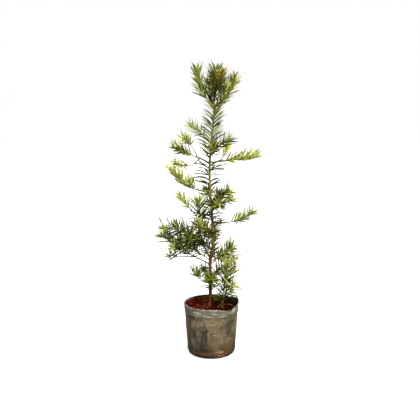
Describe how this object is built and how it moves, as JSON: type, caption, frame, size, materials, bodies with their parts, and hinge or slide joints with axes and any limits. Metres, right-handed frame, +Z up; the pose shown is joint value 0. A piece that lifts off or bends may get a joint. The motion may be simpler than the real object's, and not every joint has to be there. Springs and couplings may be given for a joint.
{
  "type": "potted podocarpus",
  "caption": "Young podocarpus with a slender trunk, spreading leafy shoots and narrow evergreen leaves, standing in a soft nursery grow bag filled with red-brown soil.",
  "frame": {"origin": "centre of the grow bag's flat underside, on the ground", "axes": "+Z up along the trunk; -Y towards the side that the reference view faces; +X to that view's right"},
  "size_m": [0.3283, 0.2399, 0.8874],
  "materials": {
    "film": "dusty grey-black polythene film with a soft sheen",
    "soil": "moist red-brown crumbly potting soil",
    "bark": "thin red-brown bark, finely fissured, with leaf scars",
    "green_wood": "smooth yellow-green young wood",
    "old_leaf": "leathery dark green blades with a pale midrib",
    "green_leaf": "leathery mid green blades",
    "young_leaf": "soft yellow-green new blades",
    "bronze_leaf": "soft bronze new blades"
  },
  "bodies": {
    "root": {"grow_bag": "film", "soil": "soil", "trunk": "bark", "bough_second_stem": "bark", "bough_top_left": "green_wood", "bough_upper_left": "green_wood", "bough_upper_right": "green_wood", "bough_middle_left": "green_wood", "bough_middle_rising": "bark", "bough_middle_right_long": "green_wood", "bough_lower_left_high": "bark", "bough_lower_left": "bark", "bough_lower_right": "bark", "bough_foot_left": "bark", "foliage_leader_tip": "old_leaf", "foliage_second_stem": "young_leaf", "foliage_top_left": "green_leaf", "foliage_top_right": "young_leaf", "foliage_top_front": "bronze_leaf", "foliage_top_inner": "young_leaf", "foliage_top_back": "old_leaf", "foliage_upper_left_high": "green_leaf", "foliage_upper_left": "green_leaf", "foliage_upper_left_tuft": "young_leaf", "foliage_upper_left_droop": "young_leaf", "foliage_upper_right": "young_leaf", "foliage_upper_right_fork": "young_leaf", "foliage_upper_right_high": "green_leaf", "foliage_upper_front": "green_leaf", "foliage_upper_back": "green_leaf", "foliage_middle_left": "green_leaf", "foliage_middle_left_inner": "young_leaf", "foliage_middle_rising": "green_leaf", "foliage_middle_left_fork": "young_leaf", "foliage_middle_front_left": "young_leaf", "foliage_middle_right_high": "green_leaf", "foliage_middle_right": "young_leaf", "foliage_middle_front": "green_leaf", "foliage_middle_back": "old_leaf", "foliage_middle_right_long": "green_leaf", "foliage_middle_back_right": "old_leaf", "foliage_lower_left_high": "old_leaf", "foliage_lower_left": "green_leaf", "foliage_lower_left_droop": "green_leaf", "foliage_lower_left_front": "green_leaf", "foliage_lower_front": "old_leaf", "foliage_lower_back": "old_leaf", "foliage_lower_left_inner": "old_leaf", "foliage_lower_left_back": "green_leaf", "foliage_lower_right": "green_leaf", "foliage_lower_right_inner": "old_leaf", "foliage_lower_right_back": "green_leaf", "foliage_foot_left": "green_leaf", "foliage_foot_front": "old_leaf", "foliage_foot_back": "old_leaf", "foliage_leader_collar": "green_leaf", "foliage_upper_collar": "old_leaf", "foliage_middle_collar": "old_leaf", "foliage_lower_collar": "old_leaf", "foliage_foot_collar": "old_leaf"}
  },
  "joints": []
}
